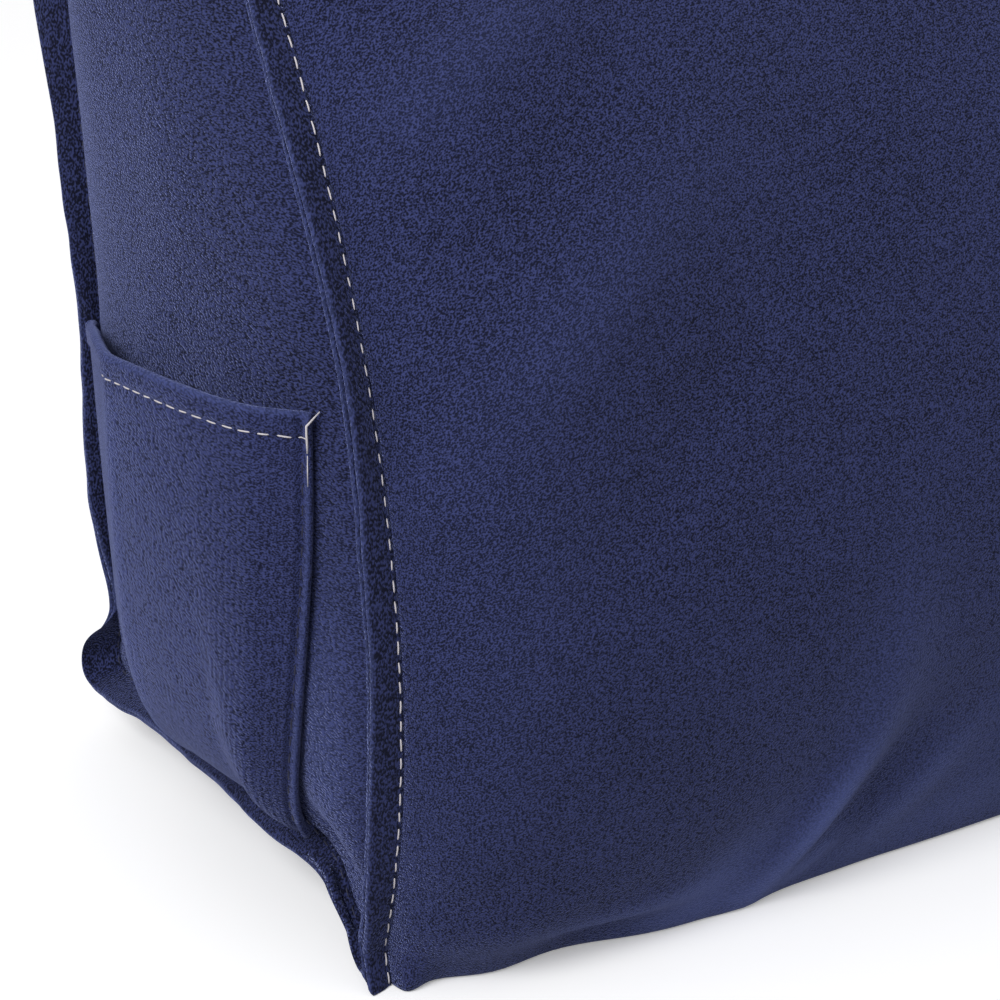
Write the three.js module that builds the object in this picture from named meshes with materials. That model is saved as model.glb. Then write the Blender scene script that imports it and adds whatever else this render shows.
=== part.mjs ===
// Wedge headboard pillow: a long stuffed wedge of plush cloth, with a topstitched flange round each end
// panel and an open patch pocket on the left one. Millimetres, +X along the length, -Y the front, +Z up.
// The floor is z = 0 and the origin lies under the middle of the length.
import * as THREE from "three";

// Driving dimensions. Outline points are (depth, height) on the end panel, in the plane of the end seam.
const SEAM_SPAN = 974;
const CLEARANCE = 0.3;
const RIM = [
  { edge: "front", steps: 30, points: [[-88, 3], [-124, 94], [-105, 264], [80, 394]] },
  { edge: "apex", steps: 6, points: [[80, 394], [107, 415], [106, 385]] },
  { edge: "back", steps: 20, points: [[106, 385], [105, 268], [78, 120], [87, 36]] },
  { edge: "heel", steps: 7, points: [[87, 36], [96, 16], [81, 17]] },
  { edge: "base", steps: 13, points: [[81, 17], [45, 19], [-50, 34], [-66, 22]] },
  { edge: "toe", steps: 8, points: [[-66, 22], [-85, -8], [-88, 3]] },
];

// How far each panel swells past the seam and over what length, and the flange's flare from the length's
// direction (degrees) and its width, at shares of each edge in the order of the rim.
const RIM_FORM = [
  { edge: "front", share: 0.0, swell: 26, ease: 1.8, flare: 16, width: 10.5 },
  { edge: "front", share: 0.1, swell: 28, ease: 18, flare: -8, width: 9.4 },
  { edge: "front", share: 0.25, swell: 29, ease: 20, flare: 1, width: 9.2 },
  { edge: "front", share: 0.38, swell: 28.5, ease: 20, flare: 18, width: 8.4 },
  { edge: "front", share: 0.57, swell: 24, ease: 20, flare: 1, width: 8.9 },
  { edge: "front", share: 0.85, swell: 15, ease: 20, flare: 8, width: 9 },
  { edge: "apex", share: 0.5, swell: 9, ease: 20, flare: 30, width: 10 },
  { edge: "back", share: 0.36, swell: 14, ease: 20, flare: 70, width: 12 },
  { edge: "back", share: 0.52, swell: 17, ease: 20, flare: 46, width: 7.4 },
  { edge: "back", share: 0.68, swell: 18, ease: 20, flare: 12, width: 7 },
  { edge: "back", share: 0.85, swell: 18, ease: 20, flare: 14, width: 8.8 },
  { edge: "back", share: 0.97, swell: 17, ease: 18, flare: -30, width: 6.5 },
  { edge: "heel", share: 0.5, swell: 18, ease: 14, flare: 54, width: 12 },
  { edge: "heel", share: 0.95, swell: 28, ease: 16, flare: 27, width: 9.6 },
  { edge: "base", share: 0.2, swell: 30, ease: 16, flare: 18, width: 8 },
  { edge: "base", share: 0.5, swell: 33, ease: 16, flare: 26, width: 8.6 },
  { edge: "base", share: 0.78, swell: 33, ease: 16, flare: 40, width: 9.8 },
  { edge: "toe", share: 0.05, swell: 30, ease: 10, flare: 46, width: 5.4 },
  { edge: "toe", share: 0.45, swell: 28, ease: 3, flare: 40, width: 4.2 },
  { edge: "toe", share: 0.75, swell: 27, ease: 1.5, flare: 62, width: 11.5 },
];

// The panels leave the end seam steeply and reach their full swell about 100 mm along the length.
const SWELL_POWER = 0.8;
const STATIONS = [0, 1, 3, 7, 14, 28, 44, 64, 90, 118, 148, 180, 215, 260, 320, 400];

// The end panel is flat under the flange's seat and then swells outwards, by how far a point lies from its
// three long edges. "depth" and "height" are its middle, and the rings are shares of the way to the seat.
const CROWN = { out: 19.5, rise: 28, seat: 5.2, depth: -22, height: 135 };
const CROWN_RINGS = [0.18, 0.36, 0.53, 0.68, 0.8, 0.89, 0.955];
// In front of the pocket the panel tucks in over the base edge within a shorter rise.
const TUCK = { rise: 8, from: -42, to: -68 };
const LONG_EDGES = ["front", "back", "base"];
const TRACE_STEPS = 200;

// Uneven filling: soft hollows (depth over zero) and mounds in the front and back panels. "along" runs
// from the left end seam, "slant" is the angle of the hollow's length from the floor, in degrees.
const PANEL_EDGES = { front: ["toe", "front"], back: ["back"] };
const HOLLOWS = [
  { panel: "front", along: 4, height: 3, reach: 18, spread: 20, slant: 0, depth: 12 },
  { panel: "front", along: 45, height: 2, reach: 25, spread: 16, slant: 0, depth: 9.5 },
  { panel: "front", along: 162, height: 28, reach: 55, spread: 20, slant: 45, depth: 2.5 },
  { panel: "front", along: 128, height: 205, reach: 70, spread: 45, slant: 60, depth: 4 },
  { panel: "front", along: 330, height: 150, reach: 90, spread: 70, slant: 70, depth: 5 },
  { panel: "front", along: 540, height: 230, reach: 120, spread: 60, slant: 25, depth: -4 },
  { panel: "front", along: 760, height: 120, reach: 90, spread: 60, slant: 110, depth: 5 },
  { panel: "front", along: 926, height: 2, reach: 25, spread: 16, slant: 0, depth: 9 },
  { panel: "front", along: 969, height: 3, reach: 18, spread: 20, slant: 0, depth: 12 },
  { panel: "back", along: 300, height: 220, reach: 110, spread: 70, slant: 80, depth: 5 },
  { panel: "back", along: 690, height: 180, reach: 110, spread: 70, slant: 100, depth: 5 },
];

const FLANGE_THICK = 4;
const FLANGE_CREST = 1;

// Pocket: its mouth from the front seam to the back seam. "off" is how far the cloth stands off the panel.
const POCKET_MOUTH = [
  { depth: -72, height: 166, off: 0 },
  { depth: -68, height: 167, off: 10.5 },
  { depth: -58, height: 167, off: 14.5 },
  { depth: -40, height: 167, off: 14.5 },
  { depth: -18, height: 166, off: 14.5 },
  { depth: 6, height: 164, off: 13.5 },
  { depth: 24, height: 161, off: 9.5 },
  { depth: 40, height: 157, off: 4.5 },
  { depth: 56, height: 152, off: 1.5 },
  { depth: 70, height: 148, off: 0 },
];
// Its foot drops towards the back. The front side bows forwards between foot and mouth.
const POCKET_FOOT = { front: -58, back: 72, height: 34, drop: 10, bow: 6.5 };
// Rows of the pocket as shares of the way from foot to mouth.
const POCKET_ROWS = [
  0, 0.02, 0.04, 0.07, 0.11, 0.16, 0.22, 0.29, 0.37,
  0.46, 0.55, 0.64, 0.73, 0.81, 0.88, 0.935, 0.95, 1,
];
const POCKET_COLUMNS = 22;
// The cloth leaves its foot steeply (power), bellies below the mouth and sags a little over the foot seam.
const POCKET_FILL = { power: 4.5, belly: 0.4, seat: 0.75, sag: 1, sagAt: 0.07 };
const POCKET_CLOTH = 2.4;
const POCKET_HEM = { from: 0.94, thick: 3.4 };

const PLUSH = { navy: 0x30345a, pocketNavy: 0x363a60, flangeNavy: 0x2a2e50, roughness: 0.95 };

// Corner numbers that the two triangles of a four-sided face take up in an index.
const QUAD_CORNERS = 6;
const UP = new THREE.Vector2(0, 1);
const DOWN = new THREE.Vector2(0, -1);
const FORWARD = new THREE.Vector2(-1, 0);
const BACKWARD = new THREE.Vector2(1, 0);
const LENGTHWISE = new THREE.Vector3(1, 0, 0);
const radians = THREE.MathUtils.degToRad;
const lerp = THREE.MathUtils.lerp;
const smoothstep = THREE.MathUtils.smoothstep;
const arch = (share) => 4 * share * (1 - share);
const middle = new THREE.Vector2(CROWN.depth, CROWN.height);

// Long edges have four control points and corners have three.
function edgeCurve({ edge, points }) {
  const knots = points.map(([depth, height]) => new THREE.Vector2(depth, height));
  const Curve = LONG_EDGES.includes(edge) ? THREE.CubicBezierCurve : THREE.QuadraticBezierCurve;
  return new Curve(...knots);
}

// One column of a row table at a place along the rim, eased so that its slope is flat at each row.
function readRows(rows, place, column) {
  let i = 0;
  while (i < rows.length - 2 && place > rows[i + 1].place) i += 1;
  const share = smoothstep(place, rows[i].place, rows[i + 1].place);
  return lerp(rows[i][column], rows[i + 1][column], share);
}

// Way out of the seam: square to the rim, but straight down under the base, turning at its two corners and
// level where the front begins.
function wayOut(edge, share, tangent) {
  if (edge === "base") return DOWN.clone();
  if (edge === "heel") return BACKWARD.clone().lerp(DOWN, share).normalize();
  if (edge === "toe") return DOWN.clone().lerp(FORWARD, share).normalize();
  const square = new THREE.Vector2(-tangent.y, tangent.x);
  if (edge !== "front") return square;
  return square.lerp(FORWARD, 1 - smoothstep(share, 0, 0.08)).normalize();
}

// How far the seam allowance turns from the panel's middle to straight up, over the base.
function upright(edge, share) {
  if (edge === "base") return 1;
  if (edge === "heel") return smoothstep(share, 0, 1);
  if (edge === "toe") return 1 - smoothstep(share, 0.55, 1);
  return 0;
}

// Walks the rim and gives each sample its point, way out, inward step and form values.
function walkRim() {
  const curves = RIM.map(edgeCurve);
  const lengths = curves.map((curve) => curve.getLength());
  const starts = lengths.map((_, i) => lengths.slice(0, i).reduce((sum, length) => sum + length, 0));
  const around = starts.at(-1) + lengths.at(-1);
  const names = RIM.map(({ edge }) => edge);
  const rows = RIM_FORM.map((row) => {
    const edge = names.indexOf(row.edge);
    return { ...row, place: starts[edge] + row.share * lengths[edge] };
  });
  const closed = [{ ...rows.at(-1), place: rows.at(-1).place - around }, ...rows];
  closed.push({ ...rows[0], place: rows[0].place + around });
  return RIM.flatMap(({ edge, steps }, i) => Array.from({ length: steps }, (_, step) => {
    const share = step / steps;
    const at = curves[i].getPointAt(share);
    const normal = wayOut(edge, share, curves[i].getTangentAt(share));
    const inward = middle.clone().sub(at).normalize().lerp(UP, upright(edge, share));
    inward.divideScalar(-inward.dot(normal));
    const place = starts[i] + share * lengths[i];
    const read = (column) => readRows(closed, place, column);
    return {
      edge, at, normal, inward,
      swell: read("swell"),
      ease: read("ease"),
      flare: radians(read("flare")),
      width: read("width"),
    };
  }));
}

const longEdges = RIM.filter(({ edge }) => LONG_EDGES.includes(edge));
const traces = longEdges.map((row) => {
  return { edge: row.edge, spots: edgeCurve(row).getSpacedPoints(TRACE_STEPS) };
});
const rim = walkRim();
const seat = rim.map(({ at, inward }) => at.clone().addScaledVector(inward, CROWN.seat));

// How far the end panel stands out of the seam's plane at a point.
function crownOut(depth, height) {
  const point = new THREE.Vector2(depth, height);
  const tucked = smoothstep(-depth, -TUCK.from, -TUCK.to);
  return traces.reduce((out, { edge, spots }) => {
    const near = Math.min(...spots.map((at) => at.distanceTo(point)));
    const rise = edge === "base" ? lerp(CROWN.rise, TUCK.rise, tucked) : CROWN.rise;
    return out * (1 - Math.exp(-Math.max(0, near - CROWN.seat) / rise));
  }, CROWN.out);
}

function hollowAt(edge, along, height) {
  return HOLLOWS.filter((row) => PANEL_EDGES[row.panel].includes(edge)).reduce((sum, row) => {
    const turn = radians(row.slant);
    const dx = along - row.along;
    const dz = height - row.height;
    const lengthwise = (dx * Math.cos(turn) + dz * Math.sin(turn)) / row.reach;
    const across = (dz * Math.cos(turn) - dx * Math.sin(turn)) / row.spread;
    return sum + row.depth * Math.exp(-(lengthwise ** 2) - across ** 2);
  }, 0);
}

// Cross-section of the stuffed body at a distance along the length from the left end seam.
function section(along) {
  const fromEnd = Math.min(along, SEAM_SPAN - along);
  return rim.map(({ edge, at, normal, swell, ease }) => {
    const share = 1 - Math.exp(-((fromEnd / ease) ** SWELL_POWER));
    const out = share * (swell - hollowAt(edge, along, at.y));
    const point = at.clone().addScaledVector(normal, out);
    return new THREE.Vector3(along - SEAM_SPAN / 2, point.x, Math.max(0, point.y));
  });
}

// Closed skin over rings of equal length. The rings close on a point at each end, or on each other.
function skin(rings, poles) {
  const count = rings[0].length;
  const points = [...rings.flat(), ...(poles ?? [])];
  const faces = [];
  const strips = poles ? rings.length - 1 : rings.length;
  for (let r = 0; r < strips; r += 1) {
    const here = r * count;
    const next = ((r + 1) % rings.length) * count;
    for (let i = 0; i < count; i += 1) {
      const j = (i + 1) % count;
      faces.push(here + i, next + j, here + j, here + i, next + i, next + j);
    }
  }
  if (poles) {
    const first = rings.length * count;
    const last = (rings.length - 1) * count;
    for (let i = 0; i < count; i += 1) {
      const j = (i + 1) % count;
      faces.push(first, i, j, first + 1, last + j, last + i);
    }
  }
  const geometry = new THREE.BufferGeometry();
  const numbers = points.flatMap((point) => point.toArray());
  geometry.setAttribute("position", new THREE.Float32BufferAttribute(numbers, 3));
  geometry.setIndex(faces);
  geometry.computeVertexNormals();
  return geometry;
}

function plush(name, geometry, color) {
  const mesh = new THREE.Mesh(
    geometry,
    new THREE.MeshStandardMaterial({ color, roughness: PLUSH.roughness, metalness: 0 }),
  );
  mesh.name = name;
  return mesh;
}

// Rings of one end panel from its middle out to the flange's seat. "side" is -1 on the left, 1 on the
// right.
function crownRings(side) {
  return [...CROWN_RINGS, 1].map((scale) => seat.map((edge) => {
    const point = middle.clone().lerp(edge, scale);
    const out = scale < 1 ? crownOut(point.x, point.y) : 0;
    return new THREE.Vector3(side * (SEAM_SPAN / 2 + out), point.x, point.y);
  }));
}

function pillowBody() {
  const mirrored = STATIONS.map((along) => SEAM_SPAN - along).reverse();
  const sections = [...STATIONS, SEAM_SPAN / 2, ...mirrored].map(section);
  const rings = [...crownRings(-1), ...sections, ...crownRings(1).reverse()];
  const poles = [-1, 1].map((side) => {
    return new THREE.Vector3(side * (SEAM_SPAN / 2 + crownOut(middle.x, middle.y)), middle.x, middle.y);
  });
  return plush("pillow_body", skin(rings, poles), PLUSH.navy);
}

// The flange: a fin of doubled cloth round the end seam, with a rounded crest. Past its root it keeps its
// thickness square to its faces, and it bends up where it meets the floor.
function flange(name, side) {
  const profile = (sample) => {
    const { at, normal, inward, flare, width } = sample;
    const sunk = Math.max(0, -at.y - normal.y * width * Math.sin(flare));
    const place = (reach, thick) => {
      const turned = smoothstep(reach / width, 0, 0.6);
      const out = reach * Math.cos(flare) + thick * Math.sin(flare) * turned;
      const point = at.clone().addScaledVector(normal, reach * Math.sin(flare));
      point.addScaledVector(inward, thick * lerp(1, Math.cos(flare), turned));
      point.y += sunk * reach / width;
      return new THREE.Vector3(side * (SEAM_SPAN / 2 + CLEARANCE + out), point.x, point.y);
    };
    const crest = width - FLANGE_CREST;
    return [
      place(0, 0),
      place(crest, 0),
      place(width, FLANGE_THICK / 2),
      place(crest, FLANGE_THICK),
      place(0, FLANGE_THICK),
    ];
  };
  const loops = rim.map(profile);
  const rings = side < 0 ? loops : loops.map((ring) => ring.reverse());
  return plush(name, skin(rings), PLUSH.flangeNavy);
}

// Inner face of the pocket: rows from its sewn foot up to its mouth.
function pocketInside() {
  const knots = POCKET_MOUTH.map(({ depth, height, off }) => new THREE.Vector3(depth, height, off));
  const mouth = new THREE.CatmullRomCurve3(knots, false, "chordal").getSpacedPoints(POCKET_COLUMNS - 1);
  const first = mouth[0].x;
  const wide = mouth.at(-1).x - first;
  return POCKET_ROWS.map((up) => mouth.map(({ x: depthTop, y: heightTop, z: off }) => {
    const across = (depthTop - first) / wide;
    const bow = POCKET_FOOT.bow * arch(up) * (1 - across);
    const depth = lerp(lerp(POCKET_FOOT.front, POCKET_FOOT.back, across), depthTop, up) - bow;
    const fill = (1 - (1 - up) ** POCKET_FILL.power) * (1 + POCKET_FILL.belly * (1 - up));
    const stand = Math.max(0, off) * fill;
    const low = up / POCKET_FILL.sagAt;
    const sag = POCKET_FILL.sag * low * Math.exp(1 - low) * Math.min(1, stand / POCKET_FILL.sag);
    const height = lerp(POCKET_FOOT.height - POCKET_FOOT.drop * across, heightTop, up) - sag;
    const out = crownOut(depth, height) + POCKET_FILL.seat + stand;
    return new THREE.Vector3(-SEAM_SPAN / 2 - out, depth, height);
  }));
}

// The pocket's cloth has its thickness along the inner face's normals, and more of it along the hem. Its
// foot is cut square to the panel.
function pocket() {
  const inside = pocketInside();
  const rows = inside.length;
  const columns = inside[0].length;
  const outside = inside.map((row, r) => row.map((point, c) => {
    const down = inside[Math.max(0, r - 1)][c];
    const up = inside[Math.min(rows - 1, r + 1)][c];
    const front = row[Math.max(0, c - 1)];
    const back = row[Math.min(columns - 1, c + 1)];
    const square = up.clone().sub(down).cross(front.clone().sub(back)).normalize();
    const normal = r > 0 ? square : LENGTHWISE;
    const thick = POCKET_ROWS[r] > POCKET_HEM.from ? POCKET_HEM.thick : POCKET_CLOTH;
    return point.clone().addScaledVector(normal, -thick);
  }));
  const loops = inside[0].map((_, c) => {
    const upInside = inside.map((row) => row[c]);
    const downOutside = outside.map((row) => row[c]).reverse();
    return [...upInside, ...downOutside];
  });
  return plush("pocket_left", sheetSkin(loops), PLUSH.pocketNavy);
}

// Closed skin of a sheet given as loops, each up its inner face and down its outer face. The strip between
// the last loop and the first gives way to a face on each of the two.
function sheetSkin(loops) {
  const count = loops[0].length;
  const geometry = skin(loops);
  const faces = [...geometry.index.array].slice(0, -count * QUAD_CORNERS);
  const last = (loops.length - 1) * count;
  for (let i = 0; i < count / 2 - 1; i += 1) {
    const j = count - 1 - i;
    faces.push(i, j - 1, j, i, i + 1, j - 1);
    faces.push(last + i, last + j, last + j - 1, last + i, last + j - 1, last + i + 1);
  }
  geometry.setIndex(faces);
  return geometry;
}

const pillow = new THREE.Group();
pillow.name = "wedge_headboard_pillow";
pillow.add(pillowBody(), flange("flange_left", -1), flange("flange_right", 1), pocket());

export default pillow;
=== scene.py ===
"""Wedge headboard pillow: a stuffed wedge of navy plush with topstitched end flanges and a pocket."""
import math

import bmesh
import bpy
import numpy as np
from bpy.props import FloatProperty, FloatVectorProperty, IntProperty, PointerProperty
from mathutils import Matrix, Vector, noise


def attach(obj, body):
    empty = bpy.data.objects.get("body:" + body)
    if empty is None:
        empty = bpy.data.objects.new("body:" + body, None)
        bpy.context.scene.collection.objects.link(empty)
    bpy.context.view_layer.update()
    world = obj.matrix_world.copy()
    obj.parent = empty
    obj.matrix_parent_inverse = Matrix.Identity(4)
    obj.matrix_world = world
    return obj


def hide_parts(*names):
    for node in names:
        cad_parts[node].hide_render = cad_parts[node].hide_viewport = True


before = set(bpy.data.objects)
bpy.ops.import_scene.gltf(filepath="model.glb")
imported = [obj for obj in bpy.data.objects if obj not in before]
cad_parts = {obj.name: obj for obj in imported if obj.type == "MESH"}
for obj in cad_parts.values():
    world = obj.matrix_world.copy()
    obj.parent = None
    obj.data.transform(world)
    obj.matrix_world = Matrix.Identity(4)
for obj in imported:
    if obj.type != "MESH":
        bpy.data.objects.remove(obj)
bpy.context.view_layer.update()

bl_info = {
    "name": "Wedge headboard pillow",
    "version": (1, 0, 0),
    "blender": (4, 5, 0),
    "location": "3D View > Sidebar > Pillow",
    "description": "Builds a stuffed wedge pillow with topstitched end flanges and a patch pocket",
    "category": "Object",
}

MM = 0.001


def table(columns, *rows):
    """Rows of values under named columns."""
    names = columns.split()
    return [dict(zip(names, row)) for row in rows]


# The end panel's seam as (depth, height) in millimetres, and how many cage steps each edge takes.
RIM = table(
    "edge steps points",
    ("front", 66, ((-88, 3), (-124, 94), (-105, 264), (80, 394))),
    ("apex", 10, ((80, 394), (107, 415), (106, 385))),
    ("back", 36, ((106, 385), (105, 268), (78, 120), (87, 36))),
    ("heel", 10, ((87, 36), (96, 16), (81, 17))),
    ("base", 22, ((81, 17), (45, 19), (-50, 34), (-66, 22))),
    ("toe", 10, ((-66, 22), (-85, -8), (-88, 3))),
)
LONG_EDGES = ("front", "back", "base")
PANELS = {"front": ("toe", "front"), "back": ("back",)}
# Fine points along each edge, how many of them an end panel's crown skips, and the step of a tangent.
TRACE_POINTS = 601
TRACE_SKIP = 3
TANGENT_STEP = 1e-3
# Share of the front edge where the way out of the seam turns level, and of the toe where it stays upright.
FRONT_FOOT = 0.08
TOE_UPRIGHT = 0.55

# Swell of the panels past the seam and the length it takes, and the flange's flare (degrees), width and
# curl (degrees from root to crest), at shares of each edge in the order of the rim. Millimetres.
RIM_FORM = table(
    "edge share swell ease flare width curl",
    ("front", 0.0, 26, 1.8, 18, 8, 0),
    ("front", 0.1, 28, 18, -8, 9.4, 0),
    ("front", 0.25, 29, 20, 1, 9.2, 0),
    ("front", 0.38, 28.5, 20, 18, 8.4, 0),
    ("front", 0.57, 24, 20, 1, 8.9, 0),
    ("front", 0.85, 15, 20, 8, 9, 0),
    ("apex", 0.5, 9, 20, 30, 10, 0),
    ("back", 0.36, 14, 20, 70, 12, 0),
    ("back", 0.52, 17, 20, 46, 7.4, 0),
    ("back", 0.68, 18, 20, 12, 7, 0),
    ("back", 0.85, 18, 20, 14, 8.8, 0),
    ("back", 0.97, 17, 18, -30, 6.5, 0),
    ("heel", 0.5, 18, 14, 54, 12, -40),
    ("heel", 0.95, 28, 16, 27, 9.6, 0),
    ("base", 0.2, 30, 16, 18, 8, 0),
    ("base", 0.5, 33, 16, 26, 8.6, 0),
    ("base", 0.78, 33, 16, 40, 9.8, 0),
    ("toe", 0.05, 30, 10, 46, 5.4, 0),
    ("toe", 0.45, 28, 3, 40, 4.2, 0),
    ("toe", 0.75, 27, 1.6, 62, 8, 0),
)
SWELL_POWER = 0.8
# Share of the swell that the cage has before its filling settles.
CAGE_SWELL = 0.985
# At the toe the seam's end bends forward and down to the floor over these shares of its two edges. The
# bend fades over a length of the panels.
TOE_BEND = {"depth": -5, "height": -5, "front": 0.022, "toe": 0.72, "fade": 6}

# Cage sections as distances from the left end seam and from the right one, in millimetres, and cage
# rings of an end panel as shares of its radius.
STATIONS = (
    0, 0.8, 2, 5, 9, 14, 20, 27, 35, 43, 51, 59, 67, 75, 83, 91, 99, 107, 115, 123, 131, 139, 147, 155,
    163, 171, 180, 190, 202, 216, 232, 252, 278, 310, 346, 386, 432)
FAR_STATIONS = (432, 380, 330, 282, 240, 202, 168, 138, 112, 90, 71, 54, 40, 28, 19, 12, 7, 3.5, 1.2, 0)
CROWN_RINGS = (
    0.04, 0.1, 0.18, 0.27, 0.36, 0.45, 0.54, 0.62, 0.7, 0.77, 0.83, 0.88, 0.92, 0.95, 0.975, 1)
# How sharp the smoothed cage stays along the end seam and along the seat of the end panel.
SEAM_CREASE = 1.0
SEAT_CREASE = 0.5
# Cover as near to the floor as this keeps its place while the filling settles.
FLOOR_HOLD = 0.0005

# How far the end panel stands out, how fast it rises off its seat beside the seam, and its middle.
CROWN = {"out": 19.5, "rise": 28, "seat": 5.2, "depth": -22, "height": 135}
PANEL_MIDDLE = np.array((CROWN["depth"], CROWN["height"])) * MM
# Towards the toe the panel rises faster off the base edge, and past the pocket it keeps flat there for
# longer.
TUCK = {"rise": 8, "from": -42, "to": -60}
FOLD = {"rise": 5, "seat": 17, "from": -58, "to": -74}
# Low down the panel comes out faster beside the front seam: heights, and the two rises that share it.
LOW_FRONT = {"from": 140, "to": 70, "quick": 5, "slow": 60}

# Broad hollows (depth over zero) and mounds of the filling, in millimetres and degrees.
HOLLOWS = table(
    "panel along height reach spread slant depth",
    ("front", 8, 3, 15, 20, 0, 15),
    ("front", 45, 2, 25, 16, 0, 9.5),
    ("front", 162, 28, 55, 20, 45, 2.5),
    ("front", 128, 205, 70, 45, 60, 4),
    ("front", 330, 150, 90, 70, 70, 5),
    ("front", 540, 230, 120, 60, 25, -4),
    ("front", 760, 120, 90, 60, 110, 5),
    ("front", 926, 2, 25, 16, 0, 9),
    ("front", 969, 3, 18, 20, 0, 12),
    ("back", 300, 220, 110, 70, 80, 5),
    ("back", 690, 180, 110, 70, 100, 5),
)

# Soft creases of the cover on top of them: a ridge stands out, a crease goes in.
CREASES = table(
    "along height reach spread slant depth",
    (124, 29, 30, 7, 57, -4.4),
    (143, 68, 28, 9, 76, -2.6),
    (145, 36, 30, 8, 50, 2.2),
    (130, 14, 12, 4.5, 40, -2.0),
    (164, 28, 24, 8.5, 44, -2.6),
    (62, 17, 26, 4.5, 0, -1.8),
    (58, 9, 26, 4.5, 0, 1.2),
    (42, 276, 36, 8, 24, 2.6),
    (40, 256, 40, 10, 30, -2.4),
    (52, 228, 46, 12, 36, 2.2),
    (60, 198, 50, 12, 40, -2.2),
    (84, 166, 55, 14, 44, 2),
    (185, 175, 45, 24, 60, 1.6),
    (850, 60, 60, 16, 130, 2.2),
    (905, 230, 45, 14, 110, 1.6),
)

# Painted highlights: lighter pile along those folds and the front's low rim, in place of the plush's sheen.
# The last column is a share.
PAINTED_FOLD_HIGHLIGHTS = table(
    "along height reach spread slant depth",
    (123, 28, 32, 4.4, 57, 1.3),
    (120, 34, 40, 16, 57, 0.12),
    (146, 78, 36, 18, 80, 0.3),
    (129, 14, 12, 3.5, 40, 0.8),
    (163, 27, 24, 6, 43, 0.5),
    (190, 24, 60, 30, 20, 0.3),
    (62, 16, 28, 3.5, 0, 0.9),
    (92, 18, 22, 10, 40, 0.75),
    (98, 6, 36, 8, 4, 0.7),
    (172, 10, 50, 10, 8, 0.4),
    (40, 256, 40, 9, 30, 0.2),
    (60, 198, 50, 12, 40, 0.16),
    (30, 120, 60, 22, 80, 0.1),
)
# A painted pool of light on the end panel, low down between the pocket and the front seam.
PAINTED_END_LIGHT = {"depth": -78, "height": 75, "across": 15, "up": 45, "share": 0.55}

# Small unevenness of the cover: its height, how fast it changes along each axis, where its pattern starts
# and how far from an end seam it fades or comes up.
PUCKERS, DENTS, END_DENTS = table(
    "rise scale offset reach",
    (0.0011, (14, 62, 62), 0, 0.022),
    (0.0012, (11, 11, 11), 0, 0.04),
    (0.001, (30, 24, 24), 5, 0.006),
)
# How far a point has to face the front to be on it, and the length beside the seam that stays even.
FRONT_FACING = (0.15, 0.6)
SEAM_HOLD = 0.004

# Section of the doubled flange edge: how far below the crest, and how far from the outer face.
FLANGE_CREST = (
    (1.5, -0.05), (0.8, 0.05), (0.3, 0.35), (0.0, 0.95), (0.25, 1.5), (0.9, 1.85), (1.7, 2.0),
    (0.9, 2.15), (0.25, 2.5), (0.0, 3.05), (0.3, 3.65), (0.8, 3.95), (1.5, 4.05),
)
FLANGE_THICK = 4
FLANGE_GAP = 0.08
# Flange samples for each step of the cage where it is built, and the density of a second rim that the
# flanges operator builds but does not use.
FLANGE_DENSITY = 6.5
FLAT_DENSITY = 6
# Rows of its faces as shares of its width, how far they swell, and the share in which its flare takes hold.
FACE_SHARES = (0.35, 0.55, 0.78)
FACE_SWELL = 0.12
TURN_SHARE = 0.6
# Depth of the faces at the seam and just past the stitches, and where that is in insets of the stitches.
ROOT_DEPTH = 0.2
FACE_DEPTH = 0.05
PAST_STITCHES = 2.2
# How far below the crest a painted highlight reaches, in place of the plush's sheen on the rolled edge.
CREST_HIGHLIGHT_REACH = 0.9
# How far the stitches pull the faces in, and the share of it that changes from stitch to stitch.
STITCH_PULL = {"depth": 0.35, "wave": 0.25}
# Along this part of the front edge the two cloths stand apart at the crest, and the stitches sink.
SPLIT = {"part": (0.22, 0.32, 0.45, 0.55), "least": 0.3, "from": 1.6, "to": 2.4}
SUNK = {"part": (0.22, 0.31, 0.46, 0.56), "depth": 0.22}
# Unevenness of a flange's width, of its edge and of its flare. The two ends start apart from each other.
WIDTH_WAVE, EDGE_WAVE, FLARE_WAVE = table(
    "rise scale offset",
    (0.05, 28, 0),
    (0.0004, 90, 3),
    (math.radians(5), 24, 7),
)
END_OFFSET = 0.3

# Pocket mouth from the front seam to the back seam. "off" is how far the cloth stands off the panel.
POCKET_MOUTH = table(
    "depth height off",
    (-72, 166, 0),
    (-69.2, 166.4, 3),
    (-65.8, 166.8, 6.2),
    (-62.6, 167, 8.6),
    (-59.5, 167, 9.5),
    (-52, 167, 11),
    (-40, 167, 12.8),
    (-18, 166, 14.5),
    (-4, 164.6, 14.7),
    (4, 163.8, 13.7),
    (14, 162.4, 11.1),
    (24, 161, 8.4),
    (40, 157, 4.1),
    (56, 152, 1.5),
    (70, 148, 0),
)
# The pocket's sewn foot, and how the cloth fills out above it: its bulge, its seat and its sag low down.
POCKET_FOOT = {"front": -62, "back": 72, "height": 36.5, "drop": 10, "bow": 6.5}
POCKET_FILL = {"power": 12, "belly": 0.3, "seat": 0.75, "sag": 1, "sag_at": 0.05}
POCKET_COLUMNS = np.concatenate([
    np.linspace(0, 0.03, 9)[:-1], np.linspace(0.03, 0.22, 20)[:-1], np.linspace(0.22, 0.88, 34)[:-1],
    np.linspace(0.88, 1, 18)])
POCKET_ROWS = np.concatenate([
    np.linspace(0, 0.16, 15)[:-1], np.linspace(0.16, 0.9, 40)[:-1], np.linspace(0.9, 1, 17)])
# Fine points along the curve of its mouth.
CURVE_POINTS = 800
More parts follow.
